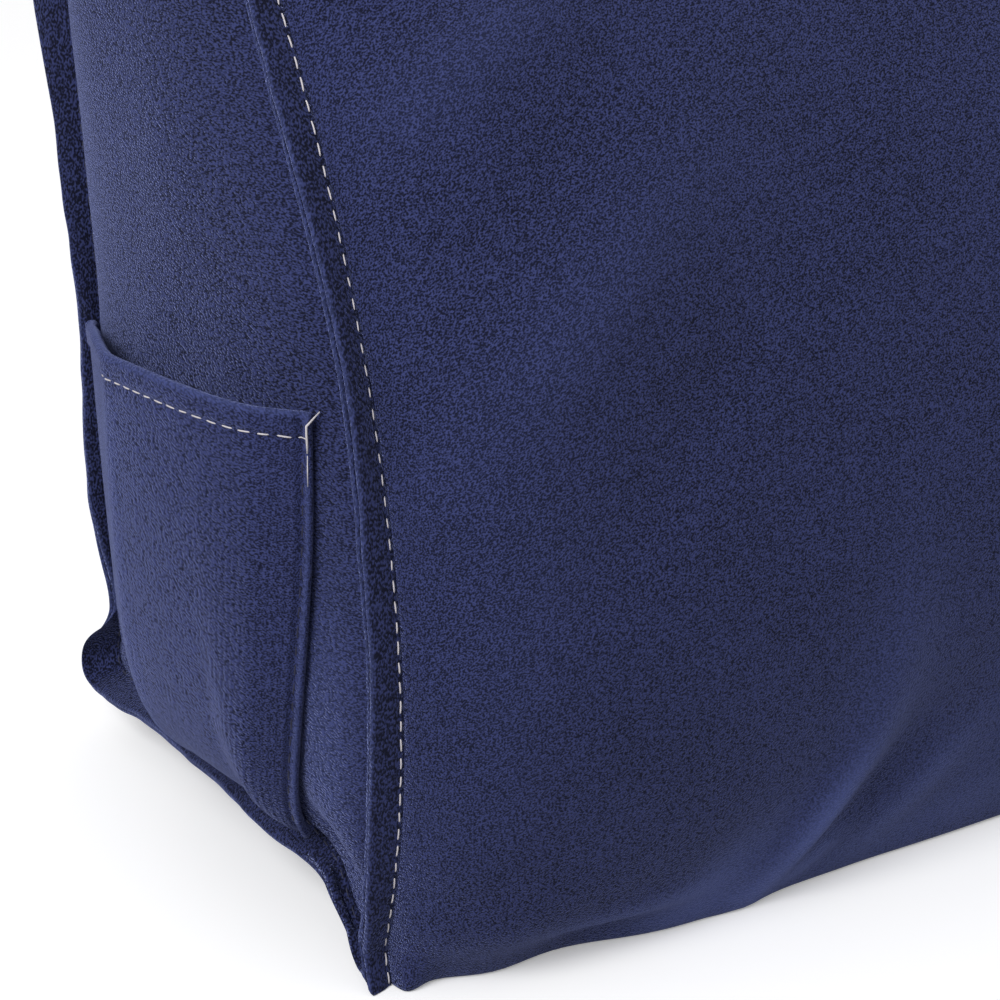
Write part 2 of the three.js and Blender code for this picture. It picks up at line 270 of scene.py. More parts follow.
# Relief of its cloth: the groove of the hem stitch, the roll and the groove in from each sewn side, and the
# fold where it goes round to the back. The same fold and roll get painted highlights over narrower strips.
HEM_GROOVE, EDGE_ROLL, EDGE_GROOVE, BACK_FOLD, FOLD_LIGHT, ROLL_LIGHT = table(
    "at rise width",
    (0, -0.0008, 0.0009),
    (0.0012, 0.0007, 0.0008),
    (0.0028, -0.0011, 0.0008),
    (-0.001, 0.0008, 0.004),
    (-0.001, 0.6, 0.005),
    (0.0012, 0.9, 0.0006),
)
# Where the hem's second cloth ends, about the hem stitch, and where the fold's light starts under the
# mouth.
HEM_END = (-0.0004, 0.0012)
FOLD_START = (0.004, 0.02)
# The rounded edge of the mouth: its rise, the shares of the cloth's thickness where it has points, and how
# strong the painted highlight is beside it.
MOUTH_EDGE = {"rise": 0.0011, "shares": (0.28, 0.72), "beside": 0.35}

# One stitch along its length, with its rise off the cloth and its girth in radii of the thread.
STITCH_FORM = table(
    "place rise girth",
    (-1, -1.6, 0.55),
    (-0.8, 0.1, 0.9),
    (-0.45, 0.75, 1),
    (0, 0.95, 1),
    (0.45, 0.75, 1),
    (0.8, 0.1, 0.9),
    (1, -1.6, 0.55),
)
# Sides of a thread, and the step along its path that gives its direction.
THREAD_SIDES = 6
PATH_STEP = 2e-4
# By how much stitches differ in length and in slant, and the turn from one to the next.
DASH_SPREAD = {"share": 0.12, "turn": 2.399}
SLANT_SPREAD = {"share": 0.5, "turn": 1.7}
# How deep stitches lie: in the flange's faces, sunk on undersides, and sunk along the back of the hem. The
# hem's path has this many points.
STITCH_SEAT = 0.3
UNDER_SUNK = 0.2
HEM_SUNK = {"depth": 0.4, "from": 0.5, "to": 0.62}
HEM_POINTS = 400
# The bar of thread at the mouth's front corner: its upper end from that corner, its places below the mouth
# and those of its thinner tail, and their weights in threads.
BAR_CORNER = (0.0026, 0, 0.0012)
BAR = {"places": (0.0021, 0.0045, 0.007, 0.0096), "weight": 1.5}
BAR_TAIL = {"places": (0.0102, 0.014, 0.0185), "weight": 0.8}
# How far a run of thread stands up between its ends, and the girth of those ends, in radii.
RUN_LIFT = 0.7
RUN_END = 0.6
# Rows of the pocket that its side stitches take, from above its foot to below its hem.
SIDE_ROWS = slice(4, -14)

# Look of each cloth face: turn of the nap's streaks about X, Y and Z in degrees, their stretch along each
# turned axis, how much lighter the pile is painted (painted shade below zero, painted light above), how
# strong its painted highlight is, its ribs and its sheen.
FRONT_NAP, END_NAP, FLANGE_NAP, POCKET_NAP = table(
    "turn stretch shade crest ribs sheen",
    ((0, -26, 12), (1.3, 1, 1), 0.0, 0.5, False, 0.6),
    ((0, 0, 0), (1, 2.4, 1), 0.0, 0.3, False, 0.6),
    # Painted shade: the flange's plush is darker than the same plush on the panels.
    ((0, 0, 0), (1.2, 1.2, 1.9), -0.18, 0.25, False, 0.6),
    # Painted light: the pocket's plush is lighter than the same plush on the panels.
    ((11, 0, 0), (1, 2.6, 0.95), 0.09, 0.3, True, 0.5),
)
# Tufts, clumps and brushed patches of the nap, and how far each lightens the pile.
TUFTS, CLUMPS, PATCHES = table(
    "scale detail share",
    (2150, 0, 0.95),
    (380, 1, 0.06),
    (24, 2, 0.25),
)
# Between which values of the noise the tufts rise, and the lightness that the pile always has.
TUFT_SPREAD = (0.33, 0.67)
NAP_FLOOR = 0.02
NAP_SOCKETS = table(
    "name way kind",
    ("Streaked", "INPUT", "Vector"),
    ("Plain", "INPUT", "Vector"),
    ("Pile root", "INPUT", "Color"),
    ("Pile tip", "INPUT", "Color"),
    ("Shade", "INPUT", "Float"),
    ("Color", "OUTPUT", "Color"),
    ("Height", "OUTPUT", "Float"),
)
# Numbers of the sockets that a mix of two colours takes and gives.
FIRST_COLOUR, SECOND_COLOUR, MIXED_COLOUR = 6, 7, 2
# Ribs of the pocket: flat across it, and deeper between two distances from its front side.
RIBS = {"pitch": 0.0022, "flat": 0.08, "deep": 0.3, "flat_at": 0.032, "deep_at": 0.014}
# Twist of the sewing thread, and the share of its colour that is left between the strands.
TWIST = {"scale": 3200, "detail": 2, "spread": (0.3, 0.7), "dark": 0.72}

# Half the floor's width and how far it lies under the pillow, and the size, place and aim of the light.
FLOOR_REACH = 20
FLOOR_DROP = 0.0003
KEY = {"size": 1.5, "place": (-2.4, -1.0, 2.0), "aim": (-0.4, 0, 0.15)}


def linear(red, green, blue):
    """A display colour of 0 to 255 as the linear colour that a shader takes."""
    shares = [value / 255 for value in (red, green, blue)]
    return tuple(s / 12.92 if s <= 0.04045 else ((s + 0.055) / 1.055) ** 2.4 for s in shares)


class PillowSizes(bpy.types.PropertyGroup):
    """Sizes of the cover and its filling"""

    seam_span: FloatProperty(
        name="Seam span", description="Length from one end seam to the other",
        default=0.974, min=0.4, max=2.2, unit="LENGTH")
    pressure: FloatProperty(
        name="Filling pressure",
        description="Pressure that the filling puts on the panels while they settle",
        default=4.0, min=0.0, max=20.0)
    settle: FloatProperty(
        name="Settling", description="Most that a point of the cover moves while it settles",
        default=0.005, min=0.0, max=0.03, unit="LENGTH")
    settle_frames: IntProperty(
        name="Settling frames", description="Frames of the cloth simulation", default=20, min=2, max=60)
    pocket_cloth: FloatProperty(
        name="Pocket cloth", description="Thickness of the pocket's plush",
        default=0.0024, unit="LENGTH")
    hem_depth: FloatProperty(
        name="Hem depth", description="From the pocket's mouth down to its hem stitch",
        default=0.0058, unit="LENGTH")
    hem_extra: FloatProperty(
        name="Hem extra", description="How much thicker the turned hem is than the single cloth",
        default=0.0009, unit="LENGTH")


class StitchSizes(bpy.types.PropertyGroup):
    """Sizes of the topstitching"""

    pitch: FloatProperty(
        name="Pitch", description="From one stitch to the next", default=0.0057, unit="LENGTH")
    dash: FloatProperty(
        name="Dash", description="Length of thread that shows in each stitch",
        default=0.004, unit="LENGTH")
    thread: FloatProperty(
        name="Thread", description="Thickness of the sewing thread", default=0.00048, unit="LENGTH")
    inset: FloatProperty(
        name="Inset", description="From the end seam out to the flange's stitches",
        default=0.0009, unit="LENGTH")


class PlushColours(bpy.types.PropertyGroup):
    """Colours of the cloth and the thread"""

    deep: FloatVectorProperty(
        name="Pile root", description="Colour between the tufts of the pile", subtype="COLOR",
        default=(0.0030, 0.0040, 0.0160), min=0, max=1)
    tip: FloatVectorProperty(
        name="Pile tip", description="Colour of the tufts", subtype="COLOR",
        default=(0.0372, 0.0475, 0.1500), min=0, max=1)
    # Painted highlight colour, mixed in over folds, crests and edges in place of the plush's sheen.
    crest: FloatVectorProperty(
        name="Fold edge", description="Colour of the pile where it stands open over a folded edge",
        subtype="COLOR", default=linear(85, 97, 156), min=0, max=1)
    thread: FloatVectorProperty(
        name="Thread", description="Colour of the topstitching", subtype="COLOR",
        default=linear(214, 208, 212), min=0, max=1)
    under_thread: FloatVectorProperty(
        name="Under thread",
        description="Colour of the thread on the undersides and in the pocket's sides",
        subtype="COLOR", default=linear(30, 33, 62), min=0, max=1)


class StageSettings(bpy.types.PropertyGroup):
    """Floor, light and camera"""

    floor: FloatVectorProperty(
        name="Floor", description="Colour of the floor", subtype="COLOR",
        default=(0.93, 0.93, 0.94), min=0, max=1)
    ambient: FloatProperty(
        name="Ambient", description="Strength of the even light from all round", default=0.6, min=0)
    key: FloatProperty(
        name="Key light", description="Power of the soft light from the left",
        default=63.0, min=0, unit="POWER")
    bounce: FloatProperty(
        name="Bounce", description="Share of its light that the floor throws back onto the pillow",
        default=0.42, min=0, max=1)
    glow: FloatProperty(
        name="Glow",
        description="Light that the floor itself adds to the picture, so that it stays near white",
        default=0.22, min=0, max=1)
    eye: FloatVectorProperty(
        name="Eye", description="Place of the camera", subtype="TRANSLATION",
        default=(-0.7813, -0.6313, 0.4143))
    azimuth: FloatProperty(
        name="Azimuth", description="Turn of the view about the upright axis",
        default=math.radians(-31.5), subtype="ANGLE")
    pitch: FloatProperty(
        name="Pitch", description="How far the view looks down",
        default=math.radians(23.5), subtype="ANGLE")
    lens: FloatProperty(
        name="Lens", description="Focal length in millimetres on a 36 mm sensor", default=93.6, min=10)


class PillowSettings(bpy.types.PropertyGroup):
    """All settings of the pillow"""

    sizes: PointerProperty(type=PillowSizes)
    stitches: PointerProperty(type=StitchSizes)
    colours: PointerProperty(type=PlushColours)
    stage: PointerProperty(type=StageSettings)


def smoothstep(value, low, high):
    share = np.clip((value - low) / (high - low), 0, 1)
    return share * share * (3 - 2 * share)


def window(share, start, full, fade, end):
    """1 between two shares of an edge, easing to 0 on either side."""
    return smoothstep(share, start, full) * (1 - smoothstep(share, fade, end))


def blend(first, second, share):
    return first + (second - first) * share


def unit(vectors):
    """Vectors scaled to a length of 1."""
    return vectors / np.maximum(np.linalg.norm(vectors, axis=-1, keepdims=True), 1e-12)


def column(rows, name):
    return np.array([row[name] for row in rows], float)


def bezier(points, share):
    """Points of a Bezier curve at shares of its parameter."""
    points = np.array(points, float)
    last = len(points) - 1
    weights = [math.comb(last, i) * (1 - share) ** (last - i) * share ** i for i in range(last + 1)]
    return np.stack(weights, axis=1) @ points


def run_lengths(points):
    """How far along a polyline each of its points lies."""
    return np.concatenate([[0], np.cumsum(np.linalg.norm(np.diff(points, axis=0), axis=1))])


def read_at(places, values, spots):
    """Rows of values at their places, read at other spots between them."""
    return np.stack([np.interp(spots, places, values[:, k]) for k in range(values.shape[1])], axis=-1)


def spaced(points, shares):
    """Points at shares of a polyline's length."""
    places = run_lengths(points)
    return read_at(places, points, shares * places[-1])


def edge_trace(row):
    """A fine polyline along one edge of the end seam, in metres."""
    return bezier(row["points"], np.linspace(0, 1, TRACE_POINTS)) * MM


def way_out(edge, share, tangent):
    """Square to the rim, but straight down under the base and level at the front's foot."""
    down, forward, backward = np.array((0, -1.0)), np.array((-1.0, 0)), np.array((1.0, 0))
    if edge == "base":
        return down
    if edge == "heel":
        turned = blend(backward, down, share)
    elif edge == "toe":
        turned = blend(down, forward, share)
    else:
        turned = np.array((-tangent[1], tangent[0]))
    if edge == "front":
        turned = blend(turned, forward, 1 - smoothstep(share, 0, FRONT_FOOT))
    return unit(turned)


def upright(edge, share):
    """How far the seam allowance turns from the panel's middle to straight up, over the base."""
    if edge == "heel":
        return float(smoothstep(share, 0, 1))
    if edge == "toe":
        return 1 - float(smoothstep(share, TOE_UPRIGHT, 1))
    return 1.0 if edge == "base" else 0.0


class Rim:
    """Samples of the end seam: place along it, point, way out, inward step and form values."""

    def __init__(self, density):
        traces = [edge_trace(row) for row in RIM]
        lengths = [np.linalg.norm(np.diff(trace, axis=0), axis=1).sum() for trace in traces]
        starts = np.concatenate([[0], np.cumsum(lengths)])
        self.around = starts[-1]
        spans = {row["edge"]: span for row, span in zip(RIM, zip(starts, lengths))}
        rows = []
        for row in RIM_FORM:
            start, length = spans[row["edge"]]
            rows.append(dict(row, place=start + row["share"] * length))
        closed = [dict(rows[-1], place=rows[-1]["place"] - self.around), *rows,
                  dict(rows[0], place=rows[0]["place"] + self.around)]
        self.edge, self.place, self.at, self.bend, self.out, turned_up = [], [], [], [], [], []
        for row, trace in zip(RIM, traces):
            edge = row["edge"]
            start, length = spans[edge]
            steps = max(2, round(row["steps"] * density))
            shares = np.arange(steps) / steps
            ahead = spaced(trace, np.minimum(1, shares + TANGENT_STEP))
            behind = spaced(trace, np.maximum(0, shares - TANGENT_STEP))
            bends = {"front": 1 - smoothstep(shares, 0, TOE_BEND["front"]),
                     "toe": smoothstep(shares, TOE_BEND["toe"], 1)}
            bend = bends.get(edge, np.zeros(steps))
            for share, point, tangent, bent in zip(shares, spaced(trace, shares), ahead - behind, bend):
                self.edge.append(edge)
                self.place.append(start + share * length)
                self.bend.append((bent * TOE_BEND["depth"] * MM, bent * TOE_BEND["height"] * MM))
                self.at.append(point + self.bend[-1])
                self.out.append(way_out(edge, share, unit(tangent)))
                turned_up.append(upright(edge, share))
        self.place, self.at, self.bend, self.out = (
            np.array(values) for values in (self.place, self.at, self.bend, self.out))
        inward = blend(unit(PANEL_MIDDLE - self.at), np.array((0, 1.0)), np.array(turned_up)[:, None])
        self.inward = inward / -np.sum(inward * self.out, axis=1)[:, None]
        self.swell, self.ease, self.width = (
            self.read(closed, name) * MM for name in ("swell", "ease", "width"))
        self.flare, self.curl = (np.radians(self.read(closed, name)) for name in ("flare", "curl"))

    def read(self, rows, name):
        """One column of the form table at each place, eased so that its slope is flat at each row."""
        values = np.zeros(len(self.place))
        for before, after in zip(rows, rows[1:]):
            held = (self.place >= before["place"]) & (self.place <= after["place"])
            share = smoothstep(self.place, before["place"], after["place"])
            values[held] = blend(before[name], after[name], share)[held]
        return values


TRACES = {row["edge"]: edge_trace(row)[::TRACE_SKIP] for row in RIM if row["edge"] in LONG_EDGES}


def crown_out(depth, height):
    """How far the end panel stands out of the seam's plane at points of it."""
    points = np.stack([np.ravel(depth), np.ravel(height)], axis=1)
    out = np.full(len(points), CROWN["out"] * MM)
    tucked, folded = (
        smoothstep(-points[:, 0], -form["from"] * MM, -form["to"] * MM) for form in (TUCK, FOLD))
    base_rise = blend(CROWN["rise"], TUCK["rise"], tucked) + (FOLD["rise"] - TUCK["rise"]) * folded
    base_seat = blend(CROWN["seat"], FOLD["seat"], folded)
    for edge, trace in TRACES.items():
        near = np.min(np.linalg.norm(points[:, None] - trace[None], axis=2), axis=1)
        rise, seat = (base_rise, base_seat) if edge == "base" else (CROWN["rise"], CROWN["seat"])
        past = np.maximum(0, near - seat * MM) / MM
        share = 1 - np.exp(-past / rise)
        if edge == "front":
            low = smoothstep(-points[:, 1], -LOW_FRONT["from"] * MM, -LOW_FRONT["to"] * MM)
            full = 1 - (np.exp(-past / LOW_FRONT["quick"]) + np.exp(-past / LOW_FRONT["slow"])) / 2
            share += (full - share) * low
        out *= share
    return out.reshape(np.shape(depth))


def bell(row, along, height):
    """Depth in metres of a hollow or crease at points given along the length and up the panel."""
    turn = math.radians(row["slant"])
    across_x, across_z = along - row["along"] * MM, height - row["height"] * MM
    lengthwise = (across_x * math.cos(turn) + across_z * math.sin(turn)) / (row["reach"] * MM)
    across = (across_z * math.cos(turn) - across_x * math.sin(turn)) / (row["spread"] * MM)
    return row["depth"] * MM * np.exp(-lengthwise ** 2 - across ** 2)


def wave(points, form):
    """Smooth noise at points, with the rise, scale and offset that a form gives it."""
    moved = (points + form["offset"]) * form["scale"]
    return np.array([noise.noise(Vector(point)) for point in moved]) * form["rise"]


def relief(place, form):
    """A rounded rise of the cloth at places: its middle, its height and its width."""
    return form["rise"] * np.exp(-((place - form["at"]) / form["width"]) ** 2)


def vectors(mesh, name):
    """A named vector of each point of a mesh."""
    values = np.empty(len(mesh.vertices) * 3)
    mesh.vertices.foreach_get(name, values)
    return values.reshape(-1, 3)


def set_coordinates(mesh, points):
    mesh.vertices.foreach_set("co", np.ascontiguousarray(points, float).ravel())
    mesh.update()


def keep_values(piece, name, values):
    """Stores a value for each point of a piece, which its material reads."""
    piece.data.attributes.new(name, "FLOAT", "POINT").data.foreach_set("value", np.ravel(values))


def new_piece(name, points, faces, *materials):
    """A smooth-shaded object in the row frame, with its normals outwards."""
    mesh = bpy.data.meshes.new(name)
    mesh.from_pydata([tuple(p) for p in points], [], [tuple(int(i) for i in f) for f in faces])
    shell = bmesh.new()
    shell.from_mesh(mesh)
    bmesh.ops.recalc_face_normals(shell, faces=shell.faces)
    shell.to_mesh(mesh)
    shell.free()
    mesh.validate()
    mesh.shade_smooth()
    for material in materials:
        mesh.materials.append(material)
    piece = bpy.data.objects.new(name, mesh)
    bpy.context.scene.collection.objects.link(piece)
    return piece


def settle_modifiers(piece):
    """Puts the result of a piece's modifiers into its mesh."""
    graph = bpy.context.evaluated_depsgraph_get()
    mesh = bpy.data.meshes.new_from_object(piece.evaluated_get(graph))
    piece.modifiers.clear()
    piece.data = mesh


def inflate(piece, held, sizes):
    """Lets pressure push the cover out between its sewn edges, and keeps how far each point came."""
    sewn = piece.vertex_groups.new(name="sewn")
    sewn.add([int(i) for i in held], 1.0, "REPLACE")
    start = vectors(piece.data, "co")
    cloth = piece.modifiers.new("filling", "CLOTH")
    cover = cloth.settings
    cover.quality = 6
    cover.mass = 0.25
    cover.tension_stiffness = cover.compression_stiffness = 25
    cover.shear_stiffness = 12
    cover.bending_stiffness = 2
    cover.air_damping = 4
    cover.vertex_group_mass = sewn.name
    cover.use_pressure = True
    cover.uniform_pressure_force = sizes.pressure
    cover.effector_weights.gravity = 0
    scene = bpy.context.scene
    for number in range(1, sizes.settle_frames + 1):
        scene.frame_set(number)
    graph = bpy.context.evaluated_depsgraph_get()
    moved = vectors(piece.evaluated_get(graph).data, "co") - start
    scene.frame_set(1)
    piece.modifiers.clear()
    piece.vertex_groups.clear()
    far = np.linalg.norm(moved, axis=1)[:, None]
    kept = np.tanh(far / sizes.settle) * sizes.settle / np.maximum(far, 1e-9)
    set_coordinates(piece.data, start + moved * kept)


def face_strips(rings, closed):
    """Faces between rings of corner numbers. The rings run round, and close on each other if asked."""
    faces = []
    pairs = list(zip(rings, rings[1:])) + ([(rings[-1], rings[0])] if closed else [])
    for here, after in pairs:
        for i in range(len(here)):
            j = (i + 1) % len(here)
            faces.append((here[i], here[j], after[j], after[i]))
    return faces


def corner_numbers(rings, count):
    """Numbers of the corners of equal rings, in order."""
    return np.arange(rings * count).reshape(rings, count)


def body_cage(sizes):
    """Rings of the stuffed body from the left end panel's middle to the right one's."""
    rim = Rim(1)
    half = sizes.seam_span / 2
    seat = rim.at + rim.inward * CROWN["seat"] * MM
    rings, kinds = [], []

    def crown_ring(side, scale):
        flat = blend(PANEL_MIDDLE, seat, scale)
        out = crown_out(flat[:, 0], flat[:, 1]) if scale < 1 else np.zeros(len(flat))
        rings.append(np.column_stack([side * (half + out), flat]))
        kinds.append("seat" if scale == 1 else "end")

    def section(along):
        from_end = min(along, sizes.seam_span - along)
        share = 1 - np.exp(-(from_end / rim.ease) ** SWELL_POWER)
        straight = rim.at - rim.bend * (1 - math.exp(-from_end / (TOE_BEND["fade"] * MM)))
        hollow = np.zeros(len(rim.at))
        for row in HOLLOWS:
            on_panel = np.array([edge in PANELS[row["panel"]] for edge in rim.edge])
            hollow += on_panel * bell(row, along, straight[:, 1])
        point = straight + rim.out * (share * (rim.swell * CAGE_SWELL - hollow))[:, None]
        point[:, 1] = np.maximum(0, point[:, 1])
        rings.append(np.column_stack([np.full(len(point), along - half), point]))
        kinds.append("seam" if along in (0, sizes.seam_span) else "panel")

    for scale in CROWN_RINGS:
        crown_ring(-1, scale)
    for along in [*[s * MM for s in STATIONS], half, *[sizes.seam_span - s * MM for s in FAR_STATIONS]]:
        section(along)
    for scale in reversed(CROWN_RINGS):
        crown_ring(1, scale)
    return rings, kinds


def make_body(settings):
    sizes = settings.sizes
    rings, kinds = body_cage(sizes)
    count = len(rings[0])
    numbers = corner_numbers(len(rings), count)
    points = np.vstack([*rings, rings[0].mean(axis=0), rings[-1].mean(axis=0)])
    first = numbers.size
    faces = face_strips(numbers, False)
    faces += [(first, numbers[0][(i + 1) % count], numbers[0][i]) for i in range(count)]
    faces += [(first + 1, numbers[-1][i], numbers[-1][(i + 1) % count]) for i in range(count)]
    body = new_piece("pillow_body_plush", points, faces,
                     plush_material("navy_front_pile", settings, FRONT_NAP),
                     plush_material("navy_end_pile", settings, END_NAP))
    kind = np.array([k for k in kinds for _ in range(count)] + ["end", "end"])
    for face in body.data.polygons:
        on_end = sum(kind[i] in ("end", "seat") for i in face.vertices)
        face.material_index = 1 if on_end >= 2 else 0
    crease = body.data.attributes.new("crease_edge", "FLOAT", "EDGE")
    sharp = {"seam": SEAM_CREASE, "seat": SEAT_CREASE}
    for edge in body.data.edges:
        a, b = (kind[i] for i in edge.vertices)
        crease.data[edge.index].value = sharp.get(a, 0.0) if a == b else 0.0
    held = np.flatnonzero((kind != "panel") | (points[:, 2] < FLOOR_HOLD))
    inflate(body, held, sizes)
    smooth = body.modifiers.new("smooth", "SUBSURF")
    smooth.levels = smooth.render_levels = 1
    settle_modifiers(body)
    crease_body(body, sizes)
    return body


def crease_body(body, sizes):
    """Soft creases of the cover, puckers square to the end seams, and painted highlights and painted light
    on the pile.
    """
    points, normals = (vectors(body.data, name) for name in ("co", "normal"))
    along = points[:, 0] + sizes.seam_span / 2
    on_front = smoothstep(-normals[:, 1], *FRONT_FACING)
    from_end = np.clip(np.minimum(along, sizes.seam_span - along), 0, None)
    inside = (along > 0) & (along < sizes.seam_span)
    near_seam = 1 - np.exp(-from_end / SEAM_HOLD)
    push = np.zeros(len(points))
    for row in CREASES:
        push -= bell(row, along, points[:, 2]) * on_front * near_seam
    puckers = wave(points, PUCKERS) * np.exp(-from_end / PUCKERS["reach"]) * near_seam
    dents = wave(points, DENTS) * (1 - np.exp(-from_end / DENTS["reach"]))
    past_end = np.abs(points[:, 0]) - sizes.seam_span / 2
    end_dents = wave(points, END_DENTS) * smoothstep(past_end, 0, END_DENTS["reach"])
    push += np.where(inside, puckers + dents, end_dents)
    # Painted highlight over the front's folds and low rim, in place of the plush's sheen there.
    light = sum(bell(row, along, points[:, 2]) / MM for row in PAINTED_FOLD_HIGHLIGHTS) * on_front * near_seam
    # Painted light: a lighter spot low on the end panel, kept with the painted highlights.
    lit_spot = PAINTED_END_LIGHT
    place = (points[:, 1:] / MM - (lit_spot["depth"], lit_spot["height"])) / (lit_spot["across"], lit_spot["up"])
    end_light = lit_spot["share"] * np.exp(-(place ** 2).sum(axis=1))
    keep_values(body, "crest", np.where(inside, light, end_light))
    points = points + normals * push[:, None]
    points[:, 2] = np.maximum(points[:, 2], 0)
    set_coordinates(body.data, points)


class FlangeFrame:
    """Places on a flange: out along its width and in through its thickness, at each sample of the rim."""

    def __init__(self, side, sizes):
        self.rim = rim = Rim(FLANGE_DENSITY)
        self.side = side
        self.half = sizes.seam_span / 2 + FLANGE_GAP * MM
        spots = np.column_stack([rim.at, np.full(len(rim.at), side * END_OFFSET)])
        self.width = rim.width * (1 + wave(spots, WIDTH_WAVE)) + wave(spots, EDGE_WAVE)
        self.flare = rim.flare + wave(spots, FLARE_WAVE)
        on_front = np.array([edge == "front" for edge in rim.edge])
        self.front_share = rim.place / rim.place[on_front].max()

    def place(self, reach, thick):
        """Points at a reach from the seam (an array) and a depth from the outer face, in metres."""
        rim = self.rim
        share = np.clip(reach / self.width, 0, 1)
        angle = self.flare + rim.curl * (share - 0.5)
        turned = smoothstep(share, 0, TURN_SHARE)
        out = self.half + reach * np.cos(angle) + thick * np.sin(angle) * turned
        depth = thick * (1 - (1 - np.cos(angle)) * turned)
        point = rim.at + rim.out * (reach * np.sin(angle))[:, None] + rim.inward * depth[:, None]
        crest_rise = rim.out[:, 1] * self.width * np.sin(self.flare + rim.curl * 0.5)
        sunk = np.maximum(0, -rim.at[:, 1] - crest_rise)
        point[:, 1] = np.maximum(0, point[:, 1] + sunk * share)
        return np.column_stack([self.side * out, point])

    def face_normal(self, outer):
        """Normals off the outer or the inner face, beside the seam."""
        angle = self.flare - self.rim.curl * 0.5
        flat = self.rim.out * np.cos(angle)[:, None]
        normal = np.column_stack([-self.side * np.sin(angle), flat])
        return normal if outer else -normal


def make_flange(name, side, settings):
    shape = FlangeFrame(side, settings.sizes)
    zero = np.zeros(len(shape.width))
    inset = settings.stitches.inset
    between = np.cos(shape.rim.place / settings.stitches.pitch * 2 * math.pi)
    pull = STITCH_PULL["depth"] * MM * (1 - STITCH_PULL["wave"] + STITCH_PULL["wave"] * between)
    face = [(zero, zero + ROOT_DEPTH * MM), (zero + inset, pull),
            (zero + inset * PAST_STITCHES, zero + FACE_DEPTH * MM)]
    for share in FACE_SHARES:
        face.append((shape.width * share, zero - FACE_SWELL * MM * math.sin(math.pi * share)))
    split = SPLIT["least"] + (1 - SPLIT["least"]) * window(shape.front_share, *SPLIT["part"])
    loops = [shape.place(reach, thick) for reach, thick in face]
    for below, thick in FLANGE_CREST:
        depth = below * (split if SPLIT["from"] < thick < SPLIT["to"] else 1)
        loops.append(shape.place(shape.width - depth * MM, zero + thick * MM))
    loops += [shape.place(reach, FLANGE_THICK * MM - thick) for reach, thick in reversed(face)]
    numbers = corner_numbers(len(loops), len(zero))
    flange = new_piece(name, np.concatenate(loops), face_strips(numbers, True),
                       plush_material("navy_flange_pile", settings, FLANGE_NAP))
    closed = [0.0] * len(face)
    # Painted highlight along the flange's rolled crest, fading below it.
    crest = [*closed, *[max(0.0, 1 - below / CREST_HIGHLIGHT_REACH) for below, _ in FLANGE_CREST], *closed]
    keep_values(flange, "crest", np.repeat(np.array(crest), len(zero)))
    return flange


def tube(centres, ups, across, girths):
    """Points and faces of a closed run of thread round its centre line."""
    turn = np.arange(THREAD_SIDES) / THREAD_SIDES * 2 * math.pi
    points = [c + r * (math.cos(t) * up + math.sin(t) * side)
              for c, up, side, r in zip(centres, ups, across, girths) for t in turn]
    rings = corner_numbers(len(centres), THREAD_SIDES)
    return points, [*face_strips(rings, False), tuple(reversed(rings[0])), tuple(rings[-1])]


def joined(runs):
    """Several runs of thread as one list of points and faces."""
    points, faces = [], []
    for more_points, more_faces in runs:
        first = len(points)
        points.extend(more_points)
        faces.extend(tuple(i + first for i in face) for face in more_faces)
    return points, faces


def stitch_line(path, normals, settings, sunk, closed=False):
    """Points and faces of a row of stitches along a fine path on the cloth, sunk in its pile."""
    sizes = settings.stitches
    radius = sizes.thread / 2
    sunk = np.zeros(len(path)) + sunk
    if closed:
        path, normals = (np.vstack([rows, rows[:1]]) for rows in (path, normals))
        sunk = np.append(sunk, sunk[0])
    places = run_lengths(path)
    total = places[-1]
    number = max(1, round(total / sizes.pitch))
    pitch = total / number
    shares = column(STITCH_FORM, "place")
    rise, girth = (radius * column(STITCH_FORM, name) for name in ("rise", "girth"))
    stitches = []
    for n in range(number):
        own = sizes.dash * (1 + DASH_SPREAD["share"] * math.sin(n * DASH_SPREAD["turn"]))
        spots = np.clip((n + 0.5) * pitch + shares * own / 2, 0, total)
        normal = unit(read_at(places, normals, spots))
        ahead = read_at(places, path, np.clip(spots + PATH_STEP, 0, total))
        behind = read_at(places, path, np.clip(spots - PATH_STEP, 0, total))
        across = np.cross(unit(ahead - behind), normal)
        lift = rise - np.interp(spots, places, sunk)
        slant = radius * SLANT_SPREAD["share"] * math.sin(n * SLANT_SPREAD["turn"])
        centre = read_at(places, path, spots) + normal * lift[:, None] + across * slant * shares[:, None]
        stitches.append(tube(centre, normal, across, girth))
    return joined(stitches)


def thread_run(path, normals, thickness):
    """Points and faces of one run of thread that lies along a path, with its ends sunk."""
    radius = thickness / 2
    across = unit(np.cross(unit(np.gradient(path, axis=0)), normals))
    end = np.isin(np.arange(len(path)), (0, len(path) - 1))
    centre = path + normals * radius * np.where(end, 0, RUN_LIFT)[:, None]
    return tube(centre, normals, across, radius * np.where(end, RUN_END, 1))


def make_seam_stitches(end, side, settings):
    """Topstitching through a flange: pale on its outer face, navy and sunk on its inner one."""
    shape = FlangeFrame(side, settings.sizes)
    pale, navy = thread_materials(settings)
    reach = np.full(len(shape.width), settings.stitches.inset)
    sunk = SUNK["depth"] * MM * window(shape.front_share, *SUNK["part"])
    outer = shape.place(reach, STITCH_SEAT * MM)
    inner = shape.place(reach, (FLANGE_THICK - STITCH_SEAT) * MM)
    above = stitch_line(outer, shape.face_normal(True), settings, sunk, closed=True)
    under = stitch_line(inner, shape.face_normal(False), settings, UNDER_SUNK * MM, closed=True)
    return (new_piece("flange_%s_stitches" % end, *above, pale),
            new_piece("flange_%s_understitches" % end, *under, navy))


